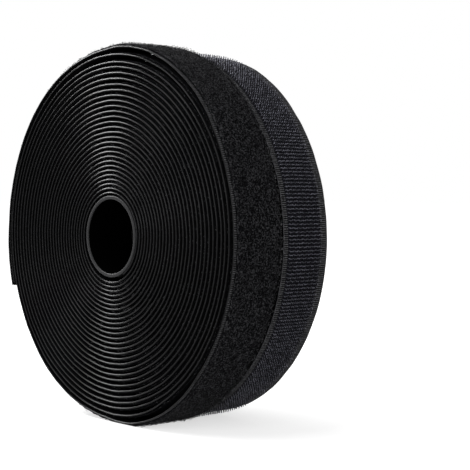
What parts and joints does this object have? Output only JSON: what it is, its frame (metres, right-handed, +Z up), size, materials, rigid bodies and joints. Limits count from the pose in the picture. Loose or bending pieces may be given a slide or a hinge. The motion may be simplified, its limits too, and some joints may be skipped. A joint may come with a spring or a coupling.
{
  "type": "hook and loop tape rolls",
  "caption": "Matched pair of adhesive-backed hook tape and loop tape rolls, each wound flat on a ring core, standing side by side on edge with free ends that peel.",
  "frame": {"origin": "on the floor under the middle of the outline of the two rolls", "axes": "+Z up, +Y along the shared axis from the loop roll in front to the hook roll behind, +X to the right seen from the loop roll's open face"},
  "size_m": [0.1696, 0.0512, 0.167],
  "materials": {
    "core": "moulded grey-black plastic, even and dull",
    "loop_web": "black woven nylon with fine ribs along its edges",
    "pile": "black brushed nylon loops, soft and dull",
    "hook_web": "black woven nylon with fine ribs along its edges",
    "hooks": "stiff black nylon hooks in rows, with small highlights",
    "liner": "glossy release film over a black adhesive"
  },
  "bodies": {
    "loop_roll": {"loop_core": "core", "loop_tape": "loop_web", "loop_pile": "pile", "loop_liner": "liner"},
    "loop_free_end": {"loop_tape_end": "loop_web", "loop_pile_end": "pile"},
    "loop_liner_flap": {"loop_liner_end": "liner"},
    "hook_roll": {"hook_core": "core", "hook_tape": "hook_web", "hook_field": "hooks", "hook_liner": "liner"},
    "hook_free_end": {"hook_tape_end": "hook_web", "hook_field_end": "hooks"},
    "hook_liner_flap": {"hook_liner_end": "liner"}
  },
  "joints": [
    {"name": "hook_roll_turn", "type": "hinge", "parent": "loop_roll", "child": "hook_roll", "pos_m": [0.00099, 0.01285, 0.0824], "axis": [0, 1, 0], "continuous": true},
    {"name": "loop_end_peel", "type": "hinge", "parent": "loop_roll", "child": "loop_free_end", "pos_m": [-0.07838, -0.01285, 0.11528], "axis": [0, 1, 0], "range_deg": [0, 90]},
    {"name": "loop_liner_peel", "type": "hinge", "parent": "loop_roll", "child": "loop_liner_flap", "pos_m": [-0.07838, -0.01285, 0.11528], "axis": [0, 1, 0], "range_deg": [0, 45]},
    {"name": "hook_end_peel", "type": "hinge", "parent": "hook_roll", "child": "hook_free_end", "pos_m": [-0.0317, 0.01285, 0.16134], "axis": [0, 1, 0], "range_deg": [0, 90]},
    {"name": "hook_liner_peel", "type": "hinge", "parent": "hook_roll", "child": "hook_liner_flap", "pos_m": [-0.0317, 0.01285, 0.16134], "axis": [0, 1, 0], "range_deg": [0, 45]}
  ],
  "couplings": [
    {"joint": "loop_liner_peel", "follows": "loop_end_peel", "ratio": 0.5},
    {"joint": "hook_liner_peel", "follows": "hook_end_peel", "ratio": 0.5}
  ]
}
